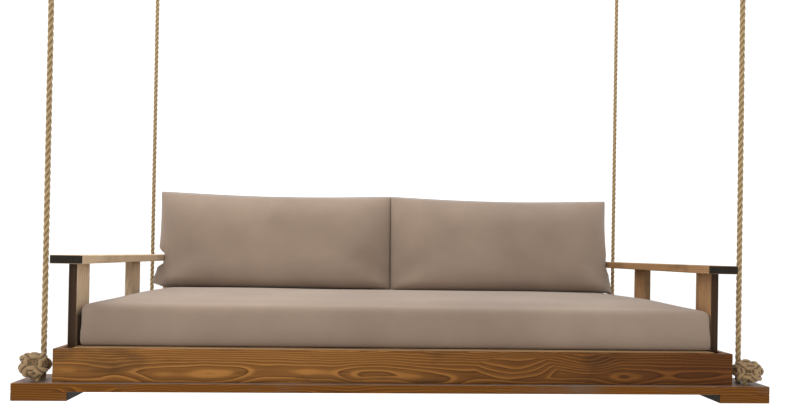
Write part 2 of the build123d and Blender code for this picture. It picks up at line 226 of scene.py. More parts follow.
def strands(line, first, phase=0.0, closed=False, size=1.0, plump=1.0):
    """Three strands laid up right-handed along the line, in whole turns if it is closed.
    size is how much fatter the rope is than where it hangs, and plump how much its strands swell."""
    along, one, two = frames(line, first, closed)
    steps = np.linalg.norm(np.diff(line, axis=0, append=line[:1]), axis=1)
    travelled = np.concatenate([[0], np.cumsum(steps)])
    lay = ROPE_LAY * size
    if closed:
        lay = travelled[-1] / max(1, round(travelled[-1] / lay))
    turned = phase + 2 * math.pi * travelled[:-1] / lay
    offset = STRAND_OFFSET * size
    slope = 2 * math.pi * offset / lay
    grids = []
    for k in range(STRAND_COUNT):
        angle = turned + 2 * math.pi * k / STRAND_COUNT
        out = np.cos(angle)[:, None] * one + np.sin(angle)[:, None] * two
        round_it = np.cos(angle)[:, None] * two - np.sin(angle)[:, None] * one
        across = unit(round_it - slope * along)
        centres = line + offset * out
        grids.append(tube_grid(centres, out, across, STRAND_R * size * plump, STRAND_SIDES, closed))
    return joined(grids)


def add_rope(corner, side, end):
    """The rope from just over its knot to its eye, round the thimble and down the tail."""
    x, y = side * ROPE_X, end * ROPE_Y
    route = [(x, y, ROPE_FOOT)] + [(x + dx, y, THIMBLE_Z + dz) for dx, dz in EYE_ROUTE]
    line = evenly(curve_points(route), ROPE_STEP)
    points, faces, uvs = strands(line, (1, 0, 0), 2 * math.pi * ROPE_FOOT / ROPE_LAY)
    piece = new_object(f"rope_{corner}_standing", points, faces, uvs=uvs)
    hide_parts(f"rope_{corner}")
    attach(piece, f"rope_{corner}")
    binding = add_seizing(corner, x, y)
    return piece, binding


# ---- seizing -------------------------------------------------------------------------------------

TWINE_R = 0.00115
SEIZING_LOW, SEIZING_HIGH = THIMBLE_Z - 0.146, THIMBLE_Z - 0.118
TAIL_X = EYE_ROUTE[-1][0]
TAIL_END = THIMBLE_Z + EYE_ROUTE[-1][1]
WHIPPING_TALL = 0.010
TWINE_POINTS, TWINE_SIDES = 36, 8
TWINE_PRESS = 0.7               # the twine's centre stands this many of its radii off the rope


def wrap(x, y, low, high, half_gap):
    """Turns of twine, side by side, round one part of the rope, or two that are half_gap from x."""
    turns = (high - low) / (2 * TWINE_R)
    angle = np.linspace(0, 2 * math.pi * turns, round(turns * TWINE_POINTS))
    radius = ROPE_DIAMETER / 2 + TWINE_R * TWINE_PRESS
    points = np.stack([
        x + radius * np.cos(angle) + half_gap * np.tanh(3 * np.cos(angle)),
        y + radius * np.sin(angle),
        low + (high - low) * angle / angle[-1],
    ], axis=1)
    _, one, two = frames(points, (0, 0, 1))
    return tube_grid(points, one, two, TWINE_R, TWINE_SIDES)


def add_seizing(corner, x, y):
    """Twine that binds the tail to the standing part, and the whipping on the tail's end."""
    both = wrap(x + TAIL_X / 2, y, SEIZING_LOW, SEIZING_HIGH, TAIL_X / 2)
    whipping = wrap(x + TAIL_X, y, TAIL_END, TAIL_END + WHIPPING_TALL, 0)
    points, faces, uvs = joined([both, whipping])
    piece = new_object(f"seizing_{corner}_twine", points, faces, uvs=uvs)
    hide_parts(f"seizing_{corner}")
    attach(piece, f"rope_{corner}")
    return piece


# ---- knots ---------------------------------------------------------------------------------------

KNOT_SHIFT = (0.010, 0.033)     # outwards from the rope, along X and Y
KNOT_SEED = 1
KNOT_LEADS, KNOT_BIGHTS = 3, 4
KNOT_R = 0.0285
KNOT_WEAVE = 0.0070             # how far a lead rises and dips at a crossing
BIGHT_SLOTS = 0.7               # the weave fades out this near to a bight
KNOT_LATITUDE = math.radians(52)
KNOT_ROPE_SIZE = 1.36           # the rope is slack and fat in its knot
KNOT_PLUMP = 1.12
KNOT_ROPE_R = (STRAND_OFFSET + STRAND_R * KNOT_PLUMP) * KNOT_ROPE_SIZE
KNOT_CLEAR = 0.001              # how far its lowest turn stays over the rail
KNOT_SAMPLES = 1200
HEART_R = KNOT_R * 0.42         # the turns inside the knot
HEART_WEAVE = 0.002
KNOT_WANDER = 0.0020            # how far its turns stray, and how often in a metre
WANDER_RATE = 30
KNOT_TILTS = {                  # in radians, about X and then Z
    "front_left": (1.15, 0.30),
    "front_right": (1.45, -0.45),
    "rear_left": (0.5, 0.9),
    "rear_right": (1.1, 0.2),
}
KNOT_SHAPES = {                 # scales along X, Y and Z
    "front_left": (0.98, 1.0, 0.90),
    "front_right": (1.06, 1.0, 0.78),
    "rear_left": (1.0, 1.0, 0.88),
    "rear_right": (1.04, 1.0, 0.84),
}


def knot_line(radius, weave):
    """One closed lead woven over and under itself round a ball, as in a Turk's head."""
    slots = 2 * KNOT_LEADS * KNOT_BIGHTS
    at = np.linspace(0, slots, KNOT_SAMPLES, endpoint=False)
    half = np.floor(at / KNOT_LEADS).astype(int)
    step = at - half * KNOT_LEADS
    down = half % 2 == 0
    slot = np.where(down, step, KNOT_LEADS - step)
    latitude = KNOT_LATITUDE * np.cos(math.pi * slot / KNOT_LEADS)
    longitude = at * math.pi / KNOT_BIGHTS
    near_bight = np.clip(np.minimum(slot, KNOT_LEADS - slot) / BIGHT_SLOTS, 0, 1)
    window = near_bight**2 * (3 - 2 * near_bight)
    lift = np.where(down, -1, 1) * np.cos(math.pi * slot) * window
    reach = radius + weave * lift
    return np.stack([
        reach * np.cos(latitude) * np.cos(longitude),
        reach * np.cos(latitude) * np.sin(longitude),
        reach * np.sin(latitude),
    ], axis=1)


def knot_ball(corner, radius, weave):
    """The knot's closed lead, tilted, pressed out of round and pulled a little out of true."""
    tilt_x, tilt_z = KNOT_TILTS[corner]
    turn = np.array(Matrix.Rotation(tilt_z, 3, "Z") @ Matrix.Rotation(tilt_x, 3, "X"))
    line = evenly(knot_line(radius, weave), ROPE_STEP, closed=True) @ turn.T
    seed = Vector((7.0 * list(CORNERS).index(corner), 0, 0))
    noise.seed_set(KNOT_SEED)       # unseeded, noise_vector differs from run to run
    drift = np.array([noise.noise_vector(Vector(p) * WANDER_RATE + seed) for p in line])
    return (line + KNOT_WANDER * drift) * KNOT_SHAPES[corner]


def add_knot(corner, side, end, body):
    """The knot on the rail: its turns, with a few more turns inside them."""
    outside = knot_ball(corner, KNOT_R, KNOT_WEAVE)
    heart = knot_ball(corner, HEART_R, HEART_WEAVE)
    rest_z = RAIL_TOP + KNOT_CLEAR + KNOT_ROPE_R - outside[:, 2].min()
    middle = np.array([side * (ROPE_X + KNOT_SHIFT[0]), end * (ROPE_Y + KNOT_SHIFT[1]), rest_z])
    outside, heart = outside + middle, heart + middle
    grids = [
        strands(line, (0, 0, 1), closed=True, size=KNOT_ROPE_SIZE, plump=KNOT_PLUMP)
        for line in (outside, heart)
    ]
    points, faces, uvs = joined(grids)
    piece = new_object(f"knot_{corner}_turns", points, faces, uvs=uvs)
    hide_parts(f"knot_{corner}")
    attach(piece, body)
    return piece


def add_foot(corner, side, end):
    """The rope from the standing part down through the rail, round its bight and up into the knot."""
    x, y, tail_y = side * ROPE_X, end * ROPE_Y, end * (ROPE_Y + TAIL_STEP)
    route = [
        (x, y, ROPE_FOOT), (x, y, BIGHT_Z + BIGHT_SHOULDER), (x, y, BIGHT_Z), (x, tail_y, BIGHT_Z),
        (x, tail_y, BIGHT_Z + BIGHT_SHOULDER), (x, tail_y, RAIL_TOP + INTO_KNOT),
    ]
    line = evenly(curve_points(route), ROPE_STEP)
    points, faces, uvs = strands(line[::-1], (1, 0, 0))
    piece = new_object(f"rope_{corner}_foot", points, faces, uvs=uvs)
    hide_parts(f"rope_bend_{corner}")
    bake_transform(piece)
    return piece


# ---- the ropes are made first --------------------------------------------------------------------

rope_pieces, twine_pieces = [], []
for corner, (side, end) in CORNERS.items():
    knot_body = "seat" if corner == "front_left" else f"knot_{corner}"
    standing, binding = add_rope(corner, side, end)
    rope_pieces += [standing, add_knot(corner, side, end, knot_body), add_foot(corner, side, end)]
    twine_pieces.append(binding)

# ---- cushions ------------------------------------------------------------------------------------

ARM_INNER_X = 0.9235            # the armrests' inner edges
ARM_LOW, ARM_HIGH = RAIL_TOP + 0.336, RAIL_TOP + 0.361

PRESSURE = 3.0
CLOTH_QUALITY, CLOTH_FRAMES = 6, 20
CLOTH_BENDING = 0.6
CREASE_DEPTH = 0.004


def lattice_box(low, high, cell):
    """The points and faces of a closed box cut into cells, with a point for each lattice place."""
    counts = [max(2, round((high[k] - low[k]) / cell)) for k in range(3)]
    index, points, faces = {}, [], []

    def at(place):
        if place not in index:
            index[place] = len(points)
            points.append([low[k] + (high[k] - low[k]) * place[k] / counts[k] for k in range(3)])
        return index[place]

    for axis in range(3):
        one, two = (axis + 1) % 3, (axis + 2) % 3
        for far in (0, 1):
            for i in range(counts[one]):
                for j in range(counts[two]):
                    corners = []
                    for a, b in ((0, 0), (1, 0), (1, 1), (0, 1)):
                        place = [0, 0, 0]
                        place[axis], place[one], place[two] = far * counts[axis], i + a, j + b
                        corners.append(at(tuple(place)))
                    faces.append(tuple(corners if far else corners[::-1]))
    return np.array(points), faces


def rounded(points, low, high, radius):
    """Moves a box's points so that its edges are round."""
    inner = np.clip(points, np.array(low) + radius, np.array(high) - radius)
    away = points - inner
    far = np.linalg.norm(away, axis=1, keepdims=True)
    return inner + away * np.minimum(1, radius / np.maximum(far, 1e-9))


def relaxed(moved, piece, rounds):
    """Evens out how far neighbouring points moved, which turns sharp creases into soft folds."""
    ends = np.array([edge.vertices for edge in piece.data.edges])
    links = np.bincount(ends.ravel(), minlength=len(moved))[:, None]
    for _ in range(rounds):
        near = np.zeros_like(moved)
        np.add.at(near, ends[:, 0], moved[ends[:, 1]])
        np.add.at(near, ends[:, 1], moved[ends[:, 0]])
        moved = (moved + near / links) / 2
    return moved


def inflate(piece, cap, pinned, stiffness, rounds):
    """Blows the cover up by cloth simulation. No point moves by more than cap, and rounds is how much
    the movement is evened out. pinned has how firmly each of some points is held."""
    rest = np.array([v.co for v in piece.data.vertices])
    cloth = piece.modifiers.new("cloth", "CLOTH")
    settings = cloth.settings
    settings.quality = CLOTH_QUALITY
    settings.use_pressure = True
    settings.uniform_pressure_force = PRESSURE
    settings.effector_weights.gravity = 0
    settings.tension_stiffness = settings.compression_stiffness = stiffness
    settings.shear_stiffness = stiffness / 3
    settings.bending_stiffness = CLOTH_BENDING
    cloth.collision_settings.use_collision = False
    cloth.collision_settings.use_self_collision = False
    group = piece.vertex_groups.new(name="pinned")
    for i, weight in pinned:
        group.add([i], weight, "REPLACE")
    settings.vertex_group_mass = "pinned"
    scene = bpy.context.scene
    for frame_number in range(1, CLOTH_FRAMES + 1):
        scene.frame_set(frame_number)
    shown = piece.evaluated_get(bpy.context.evaluated_depsgraph_get())
    moved = np.array([v.co for v in shown.data.vertices]) - rest
    piece.modifiers.remove(cloth)
    scene.frame_set(1)
    far = np.linalg.norm(moved, axis=1, keepdims=True)
    moved *= np.minimum(1, cap / np.maximum(far, 1e-9))
    set_points(piece, rest + relaxed(moved, piece, rounds))


def set_points(piece, points):
    piece.data.vertices.foreach_set("co", np.asarray(points, np.float32).ravel())
    piece.data.update()


def get_points(piece):
    flat = np.empty(len(piece.data.vertices) * 3, np.float32)
    piece.data.vertices.foreach_get("co", flat)
    return flat.reshape(-1, 3).astype(float)


def subdivided(piece):
    piece.modifiers.new("smooth", "SUBSURF").levels = 1
    shown = piece.evaluated_get(bpy.context.evaluated_depsgraph_get())
    mesh = bpy.data.meshes.new_from_object(shown)
    piece.modifiers.clear()
    piece.data = mesh
    mesh.polygons.foreach_set("use_smooth", [True] * len(mesh.polygons))


def smoothstep(values, low, high):
    t = np.clip((values - low) / (high - low), 0, 1)
    return t * t * (3 - 2 * t)


def creases(points, rates, seed):
    """Soft irregular hollows and swells, as in a cover that doesn't fit its filling exactly."""
    offset = Vector((seed, seed / 2, 0))
    at = [noise.noise(Vector([p[k] * rates[k] for k in range(3)]) + offset) for p in points]
    return CREASE_DEPTH * np.array(at)


SEAT_TOP_R, SEAT_FOOT_R = 0.020, 0.008
SEAT_EASE = (0.03, 0.07)        # the heights over its foot between which the edges change their radius
SEAT_CELL = 0.014
SEAT_STIFFNESS, SEAT_ROUNDS = 15.0, 10
SHOULDER_HELD, TOP_HELD = 0.6, 0.02
SEAT_TUCK = 0.010               # its cover starts this far inside its space
SEAT_SHOULDER = 0.014           # how far its edges lie under its crown
SEAT_SWELL = 0.009              # how much fuller it is in front of the back cushions
SWELL_BACK_Y = 0.165            # where the back cushions' fronts stand
SEAT_PROUD = np.array([0.003, 0.002, 0.0])  # how far its sides stand out of its space
SEAT_SHIFT = np.array([0.006, 0.0, 0.0])    # it lies a little to the right of the middle
SEAT_TOP_CREASES, SEAT_SIDE_CREASES = (2.6, 3.4, 0.0), (3.0, 0.0, 6.0)


def fitted(points, low, high):
    """The points again, scaled along each axis so that they reach from low to high."""
    own_low, own_high = points.min(axis=0), points.max(axis=0)
    return low + (points - own_low) * (high - low) / (own_high - own_low)


def seat_pins(heights, foot, top):
    """How firmly each point is held: well at the foot and the shoulders, and hardly on the top."""
    held = 1 - 0.5 * smoothstep(heights, foot + 0.004, foot + SEAT_EASE[0])
    held[np.abs(heights - top + SEAT_TOP_R / 2) < SEAT_TOP_R / 2] = SHOULDER_HELD
    held[heights > top - 0.001] = TOP_HELD
    return list(enumerate(held.tolist()))


def levelled(points, low, high):
    """The points again, with the middle height of the top raised to the top of the cushion's space."""
    level = np.percentile(points[points[:, 2] > high[2] - SEAT_TOP_R, 2], 50)
    raised = (high[2] - level) * smoothstep(points[:, 2], low[2] + 0.06, level)
    points[:, 2] = np.minimum(points[:, 2] + raised, high[2] - 0.0002)
    return points


def crowned(points, low, high):
    """The points again, fuller in front of the back cushions and a little uneven."""
    share = (points - (low + high) / 2) / ((high - low) / 2)
    across = smoothstep(1 - np.abs(share[:, 0]), 0, 0.16)
    along = smoothstep(1 + share[:, 1], 0, 0.60)
    along *= 1 - smoothstep(points[:, 1], SWELL_BACK_Y - 0.11, SWELL_BACK_Y)
    upper = smoothstep(points[:, 2], low[2] + 0.08, high[2] - 0.01)
    swell = SEAT_SWELL + creases(points, SEAT_TOP_CREASES, 3.0)
    points[:, 2] += swell * across * along * upper
    side = np.sign(share[:, 1]) * (1 - upper) * smoothstep(np.abs(share[:, 1]), 0.9, 1.0)
    points[:, 1] += creases(points, SEAT_SIDE_CREASES, 9.0) * side
    return points


def add_seat_cushion():
    """The mattress: a boxed cushion with soft shoulders, crowned on top and flat underneath."""
    low, high = (np.array(corner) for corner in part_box("seat_cushion"))
    start_low = low + (SEAT_TUCK, SEAT_TUCK, 0)
    start_high = high - (SEAT_TUCK, SEAT_TUCK, SEAT_SHOULDER)
    points, faces = lattice_box(start_low, start_high, SEAT_CELL)
    top = rounded(points, start_low, start_high, SEAT_TOP_R)
    foot = rounded(points, start_low, start_high, SEAT_FOOT_R)
    upper = smoothstep(points[:, 2], low[2] + SEAT_EASE[0], low[2] + SEAT_EASE[1])[:, None]
    points = foot + (top - foot) * upper
    piece = new_object("seat_cushion_cover", points, faces)
    pinned = seat_pins(points[:, 2], low[2], start_high[2])
    inflate(piece, SEAT_SHOULDER, pinned, SEAT_STIFFNESS, SEAT_ROUNDS)
    points = fitted(get_points(piece), low - SEAT_PROUD + SEAT_SHIFT, high + SEAT_PROUD + SEAT_SHIFT)
    set_points(piece, crowned(levelled(points, low, high), low, high))
    subdivided(piece)
    finish_cushion(piece, "seat_cushion")
    return piece


# A back cushion is two panels sewn together at a knife edge. Its seam stands in a plane that leans.
BACK_CELL = 0.011
BACK_CAP = 0.014
BACK_STIFFNESS, BACK_ROUNDS = 22.0, 24
BACK_CREASES = (6.0, 0.0, 8.0)
CROWD_ACROSS, CROWD_UP = 0.86, 0.80            # how closely the panels' points crowd at their edges
BACK_REACH = {"left": 0.967, "right": 0.945}   # the outer seams, from the seat's middle
BACK_MEET = -0.010              # the inner seams start past the middle, and press flat on each other
SEAM_FOOT_Y, SEAM_TOP_Y = 0.248, 0.343
FRONT_BELLY, REAR_BELLY = 0.082, 0.150
FOOT_PRESS = 0.026              # its lowest stretch is pressed flat
FOOT_SINK = 0.0035              # how far it sinks into the seat cushion
EDGE_PULL = 0.009               # how far the outer edge pulls in between the corners
TOP_PULL = 0.010
ARM_CLEAR, MIDDLE_CLEAR = 0.002, 0.0008
ARM_EASE_LOW, ARM_EASE_HIGH = 0.022, 0.030     # the dent of the arm reaches this far under and over it
CORNER_FROM_X = 0.918           # the lower outer corners turn out past here
CORNER_TALL = 0.070
CORNER_TURN = {"left": (0.008, 0.016), "right": (0.006, -0.008)}   # how far out, and how far up


def pressed(height):
    """Heights over the seat cushion, with the foot of the pillow pressed flat on it."""
    height = np.maximum(height, 0)
    return np.where(height < FOOT_PRESS, height**2 / FOOT_PRESS, height)


def crowded(count, share):
    """Places from -1 to 1, nearer to each other at both ends."""
    return np.sin(np.linspace(-1, 1, count) * math.pi / 2 * share) / math.sin(math.pi / 2 * share)


def belly(across, up):
    """How full the pillow is at a place from -1 to 1 across and up: nothing at its seam."""
    sides = (1 - np.abs(across) ** 7) ** 0.55
    top = (1 - np.clip(up, 0, 1) ** 3.6) ** 0.60
    foot = (1 - np.clip(-up, 0, 1) ** 18) ** 0.45
    return sides * top * foot * (1 - 0.20 * up)


def pillow_points(side, reach, low, high, columns, rows):
    """The front and rear panels' points on one grid, whose outline they share."""
    a, b = np.meshgrid(crowded(columns, CROWD_ACROSS), crowded(rows, CROWD_UP), indexing="ij")
    middle_x = side * (reach + BACK_MEET) / 2
    half_width = (reach - BACK_MEET) / 2
    tall = high[2] - low[2]
    seam_z = low[2] + tall * (b + 1) / 2
    outer = np.clip(side * a, 0, 1) ** 3
    x = middle_x + a * (half_width - EDGE_PULL * (1 - b**2) ** 1.5 * outer)
    seam_z = seam_z - TOP_PULL * (1 - a**2) ** 1.2 * np.clip(b, 0, 1) ** 3
    seam_y = SEAM_FOOT_Y + (SEAM_TOP_Y - SEAM_FOOT_Y) * (b + 1) / 2
    full = belly(a, b)
    front = np.stack([x, seam_y - FRONT_BELLY * full, seam_z], axis=-1)
    rear = np.stack([x, seam_y + REAR_BELLY * full, seam_z], axis=-1)
    return front, rear


def inside_arm(reach, heights):
    """How far out from the middle the points reach, once the arm and the other cushion hold them in."""
    arm = smoothstep(heights, ARM_LOW - ARM_EASE_LOW, ARM_LOW)
    arm *= 1 - smoothstep(heights, ARM_HIGH, ARM_HIGH + ARM_EASE_HIGH)
    over = np.maximum(reach - (ARM_INNER_X - ARM_CLEAR), 0)
    return np.maximum(reach - over * arm, MIDDLE_CLEAR)


def add_back_cushion(side, name):
    """A loose pillow that stands on the seat cushion and leans on the back rail."""
    low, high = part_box(f"back_cushion_{name}")
    reach = BACK_REACH[name]
    columns, rows = round(reach / BACK_CELL), round((high[2] - low[2]) / BACK_CELL)
    front, rear = pillow_points(side, reach, low, high, columns, rows)
    index = np.full((2, columns, rows), -1)
    points, seam = [], []
    for i in range(columns):
        for j in range(rows):
            edge = i in (0, columns - 1) or j in (0, rows - 1)
            index[0, i, j] = len(points)
            points.append(front[i, j])
            if edge:
                index[1, i, j] = index[0, i, j]
                seam.append(index[0, i, j])
            else:
                index[1, i, j] = len(points)
                points.append(rear[i, j])
    faces = []
    for i in range(columns - 1):
        for j in range(rows - 1):
            for layer in (0, 1):
                face = [index[layer, i + a, j + b] for a, b in ((0, 0), (1, 0), (1, 1), (0, 1))]
                faces.append(tuple(int(v) for v in (face if layer == 0 else face[::-1])))
    points = np.array(points)
    piece = new_object(f"back_cushion_{name}_cover", points, faces)
    inflate(piece, BACK_CAP, [(int(i), 1.0) for i in seam], BACK_STIFFNESS, BACK_ROUNDS)
    points = get_points(piece)
    upper = smoothstep(points[:, 2], low[2], low[2] + 0.1)
    points[:, 1] += creases(points, BACK_CREASES, 11.0 * side) * upper
    points[:, 0] = side * inside_arm(side * points[:, 0], points[:, 2])
    points[:, 2] = pressed(points[:, 2] - low[2]) + low[2] - FOOT_SINK
    corner = smoothstep(side * points[:, 0], CORNER_FROM_X, BACK_REACH[name])
    corner *= 1 - smoothstep(points[:, 2], low[2], low[2] + CORNER_TALL)
    out, up = CORNER_TURN[name]
    points += corner[:, None] * (side * out, 0, up)
    loop = seam_loop(index[0], columns, rows)
    set_points(piece, points)
    add_welt(points[loop], name)
    subdivided(piece)
    finish_cushion(piece, f"back_cushion_{name}")
    return piece


def seam_loop(index, columns, rows):
    """The seam's points in order, once round the pillow."""
    bottom = [index[i, 0] for i in range(columns)]
    right = [index[columns - 1, j] for j in range(1, rows)]
    top = [index[i, rows - 1] for i in range(columns - 2, -1, -1)]
    left = [index[0, j] for j in range(rows - 2, 0, -1)]
    return np.array(bottom + right + top + left)


WELT_R, WELT_STEP, WELT_SIDES = 0.0012, 0.004, 6


def add_welt(loop, name):
    """The thin ridge where the two panels are sewn together."""
    line = evenly(loop, WELT_STEP, closed=True)
    _, one, two = frames(line, (0, 1, 0), closed=True)
    points, faces, uvs = tube_grid(line, one, two, WELT_R, WELT_SIDES, closed=True)
    welt = new_object(f"back_cushion_{name}_seam", points, faces, uvs=uvs)
    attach(welt, "seat")
    cushion_pieces.append(welt)


def finish_cushion(piece, node):
    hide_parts(node)
    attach(piece, "seat")
    cushion_pieces.append(piece)


cushion_pieces = []
add_seat_cushion()
for side_name, side in (("left", -1), ("right", 1)):
    add_back_cushion(side, side_name)

# ---- materials -----------------------------------------------------------------------------------


class Tree:
    """A material's node tree, with one call for each node."""

    def __init__(self, name):
        self.material = bpy.data.materials.new(name)
        self.material.use_nodes = True
        self.nodes = self.material.node_tree.nodes
        self.links = self.material.node_tree.links
        self.shader = self.nodes["Principled BSDF"]

    def add(self, kind, inputs=(), **settings):
        node = self.nodes.new(f"ShaderNode{kind}")
        for key, value in settings.items():
            setattr(node, key, value)
        for key, value in dict(inputs).items():
            self.put(node.inputs[key], value)
        return node

    def put(self, socket, value):
        if isinstance(value, bpy.types.NodeSocket):
            self.links.new(value, socket)
        else:
            socket.default_value = value

    def math(self, operation, *values, clamp=False):
        node = self.add("Math", operation=operation, use_clamp=clamp)
        for socket, value in zip(node.inputs, values):
            self.put(socket, value)
        return node.outputs[0]

    def vector(self, operation, *values):
        node = self.add("VectorMath", operation=operation)
        for socket, value in zip(node.inputs, values):
            self.put(socket, value)
        return node.outputs["Value" if operation in ("LENGTH", "DOT_PRODUCT") else "Vector"]

    def times(self, vector, factor):
        return self.add("VectorMath", {0: vector, "Scale": factor}, operation="SCALE").outputs[0]

    def parts(self, vector):
        return self.add("SeparateXYZ", {"Vector": vector}).outputs

    def ranged(self, value, low, high, top=1.0):
        """0 where the value is low, and top where it is high."""
        return self.add("MapRange", {"Value": value, 1: low, 2: high, 4: top}).outputs[0]

    def noise(self, vector, scale, detail=3.0, roughness=0.5):
        inputs = {"Vector": vector, "Scale": scale, "Detail": detail, "Roughness": roughness}
        return self.add("TexNoise", inputs).outputs["Fac"]

    def ramp(self, value, stops):
        node = self.add("ValToRGB", {"Fac": value})
        elements = node.color_ramp.elements
        while len(elements) < len(stops):
            elements.new(0.5)
        for element, (place, colour) in zip(elements, stops):
            element.position = place
            element.color = (*colour, 1) if isinstance(colour, tuple) else (colour, colour, colour, 1)
        return node.outputs["Color"]

    def mix(self, amount, one, two, blend="MIX"):
        node = self.add("Mix", data_type="RGBA", blend_type=blend)
        self.put(node.inputs["Factor"], amount)
        for key, value in (("A", one), ("B", two)):
            socket = next(s for s in node.inputs if s.name == key and s.type == "RGBA")
            self.put(socket, (*value, 1) if isinstance(value, tuple) else value)
        return next(s for s in node.outputs if s.type == "RGBA")

    def scaled(self, vector, scale, offset=(0, 0, 0)):
        node = self.add("Mapping", {"Vector": vector, "Scale": scale, "Location": offset})
        return node.outputs[0]

    def bump(self, height, strength, distance):
        return self.add("Bump", {"Height": height, "Strength": strength, "Distance": distance}).outputs[0]

    def surface(self, **values):
        for key, value in values.items():
            name = key.replace("_", " ")
            socket = self.shader.inputs[name]
            self.put(socket, (*value, 1) if isinstance(value, tuple) and socket.type == "RGBA" else value)
        return self.material


X, Y, Z = 0, 1, 2
WHITE = (1.0, 1.0, 1.0)

# Timber colours: wide bands, thin bands, and the stain where it has pooled.
STAINED = {"light": (0.305, 0.133, 0.030), "dark": (0.055, 0.015, 0.001), "pooled": (0.028, 0.016, 0.008)}
RAIL = {"light": (0.190, 0.068, 0.005), "dark": (0.045, 0.012, 0.001), "pooled": (0.110, 0.072, 0.048)}
# Painted light: the left armrest and posts are a paler copy of the right side's wood, for the light that
# falls on their inner faces.
PALE_PAINTED_LIT = {"light": (0.640, 0.485, 0.325), "dark": (0.440, 0.315, 0.195), "pooled": (0.270, 0.170, 0.095)}
BROWN = {"light": (0.380, 0.220, 0.110), "dark": (0.175, 0.092, 0.040), "pooled": (0.095, 0.052, 0.024)}
DECK = {"light": (0.400, 0.255, 0.130), "dark": (0.230, 0.130, 0.060), "pooled": (0.140, 0.075, 0.035)}
FADED = (0.42, 0.32, 0.22)      # the front apron's stain is darkest at its right end
FADE_FROM, FADE_TO = -0.3, 0.9
# Painted sheen: the rails' top faces are painted a lighter grey, standing in for the reflection of the
# bright sky on them.
RAIL_TOP_PAINTED_SHEEN = (0.150, 0.115, 0.100)
ARM_END = (0.011, 0.008, 0.005)
# Dark end grain, which takes more stain; on the posts' front faces the same colour is partly painted shade.
END_GRAIN_AND_POST_SHADE = (0.022, 0.011, 0.005)
# Painted shade: the colour of the front posts' inner faces under the seat cushion's top, standing in for the
# cushion's shadow on them.
POST_FOOT_SHADE = (0.050, 0.030, 0.018)
FOOT_SHADE_FADE, FOOT_SHADE_SHARE = 0.030, 0.85
RINGS_PER_METRE = 185.0
PITH_WANDER = 0.022
EYE_DEPTH = 0.024               # how far the rings swell out round a knot in the wood
# How far in from an edge the painted highlight, partly wear, reaches.
EDGE_HIGHLIGHT_R = 0.003


def ring_height(tree, place, grain, others, pith, seed):
    """Growth rings, as a share of the way through each. The tree's middle wanders along the board,
    which draws long arches where a face lies flat to the rings, and eyes round its knots."""
    stretch = [6.0, 6.0, 6.0]
    stretch[grain] = 3.2
    slow = tree.add("TexNoise", {
        "Vector": tree.scaled(place, stretch, (seed, seed * 0.7, seed * 0.3)), "Scale": 1.0,
        "Detail": 1.5, "Roughness": 0.45,
    }).outputs["Color"]
    centred = tree.vector("SUBTRACT", slow, (0.5, 0.5, 0.5))
    swayed = tree.vector("ADD", place, tree.times(centred, 2 * PITH_WANDER))
    flat, offset = [1.0, 1.0, 1.0], [0.0, 0.0, 0.0]
    flat[grain] = 0.010
    for axis, distance in zip(others, pith):
        offset[axis] = distance
    radial = tree.vector("LENGTH", tree.scaled(swayed, flat, offset))
    cell = [9.0, 9.0, 9.0]
    cell[grain] = 2.4
    far = tree.add("TexVoronoi", {
        "Vector": tree.scaled(place, cell, (seed * 0.9, seed * 0.4, seed * 0.6)), "Scale": 1.0,
    }).outputs["Distance"]
    eye = tree.math("MULTIPLY", tree.ramp(far, [(0.0, 1.0), (0.10, 0.72), (0.34, 0.0)]), EYE_DEPTH)
    return tree.math("FRACT", tree.math("MULTIPLY", tree.math("ADD", radial, eye), RINGS_PER_METRE))


